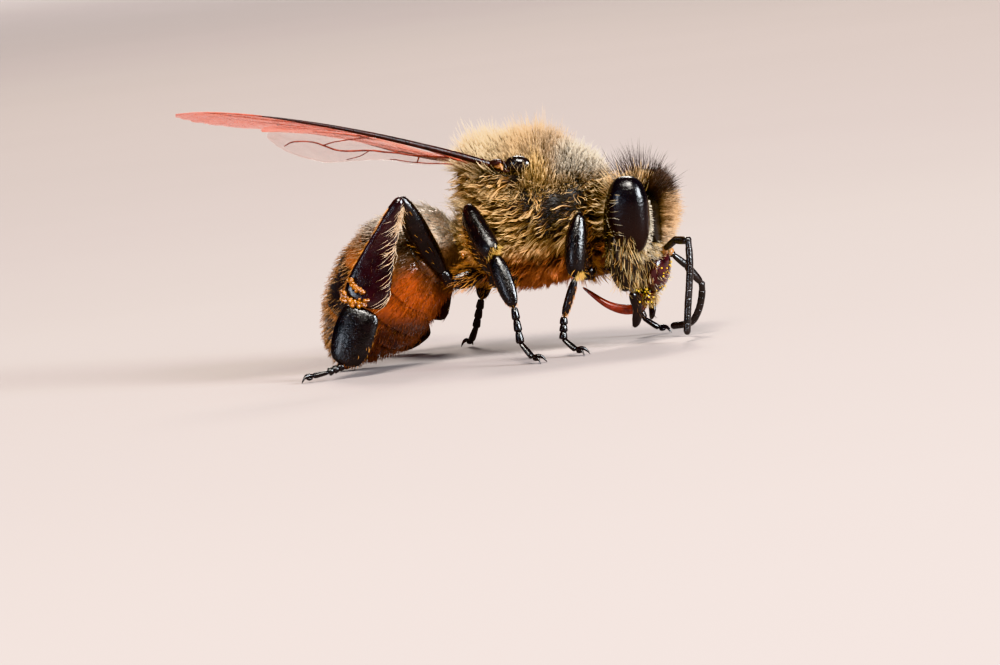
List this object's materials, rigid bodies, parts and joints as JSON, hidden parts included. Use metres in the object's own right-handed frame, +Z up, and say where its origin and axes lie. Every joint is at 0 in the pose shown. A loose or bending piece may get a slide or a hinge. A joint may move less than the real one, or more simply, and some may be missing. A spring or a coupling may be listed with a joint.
{
  "type": "honey bee worker",
  "caption": "Life-size still model of a honey bee worker, standing with its wings half raised and its abdomen curled down to the floor.",
  "frame": {"origin": "middle of the footprint's bounding box, on the floor", "axes": "+X towards the head, +Y to the bee's left, +Z up"},
  "size_m": [0.014, 0.0104, 0.0083],
  "materials": {
    "thorax_coat": "cream to ochre branched hair over dark cuticle",
    "face_coat": "tan and dark brown hair over a near-black head capsule",
    "amber_cuticle": "satin orange-brown plates with dark bands and pale hair",
    "black_cuticle": "glossy black-brown cuticle",
    "compound_eye": "glossy near-black, finely faceted",
    "mouthparts": "glossy chestnut",
    "wing_membrane": "clear pale amber membrane with brown veins"
  },
  "bodies": {
    "root": {"head": "face_coat", "eye_right": "compound_eye", "eye_left": "compound_eye", "antenna_right_scape": "black_cuticle", "antenna_right_flagellum": "black_cuticle", "antenna_left_scape": "black_cuticle", "antenna_left_flagellum": "black_cuticle", "mandible_right": "mouthparts", "mandible_left": "mouthparts", "proboscis": "mouthparts", "thorax": "thorax_coat", "tegula_right": "black_cuticle", "tegula_left": "black_cuticle", "forewing_right": "wing_membrane", "forewing_left": "wing_membrane", "hindwing_right": "wing_membrane", "hindwing_left": "wing_membrane", "abdomen_1": "amber_cuticle", "abdomen_2": "amber_cuticle", "abdomen_3": "amber_cuticle", "abdomen_4": "amber_cuticle", "abdomen_5": "amber_cuticle", "abdomen_6": "amber_cuticle", "foreleg_right_coxa": "black_cuticle", "foreleg_right_femur": "black_cuticle", "foreleg_right_tibia": "black_cuticle", "foreleg_right_basitarsus": "black_cuticle", "foreleg_right_tarsus": "black_cuticle", "foreleg_left_coxa": "black_cuticle", "foreleg_left_femur": "black_cuticle", "foreleg_left_tibia": "black_cuticle", "foreleg_left_basitarsus": "black_cuticle", "foreleg_left_tarsus": "black_cuticle", "midleg_right_coxa": "black_cuticle", "midleg_right_femur": "black_cuticle", "midleg_right_tibia": "black_cuticle", "midleg_right_basitarsus": "black_cuticle", "midleg_right_tarsus": "black_cuticle", "midleg_left_coxa": "black_cuticle", "midleg_left_femur": "black_cuticle", "midleg_left_tibia": "black_cuticle", "midleg_left_basitarsus": "black_cuticle", "midleg_left_tarsus": "black_cuticle", "hindleg_right_coxa": "black_cuticle", "hindleg_right_femur": "black_cuticle", "hindleg_right_tibia": "black_cuticle", "hindleg_right_basitarsus": "black_cuticle", "hindleg_right_tarsus": "black_cuticle", "hindleg_left_coxa": "black_cuticle", "hindleg_left_femur": "black_cuticle", "hindleg_left_tibia": "black_cuticle", "hindleg_left_basitarsus": "black_cuticle", "hindleg_left_tarsus": "black_cuticle"}
  },
  "joints": []
}
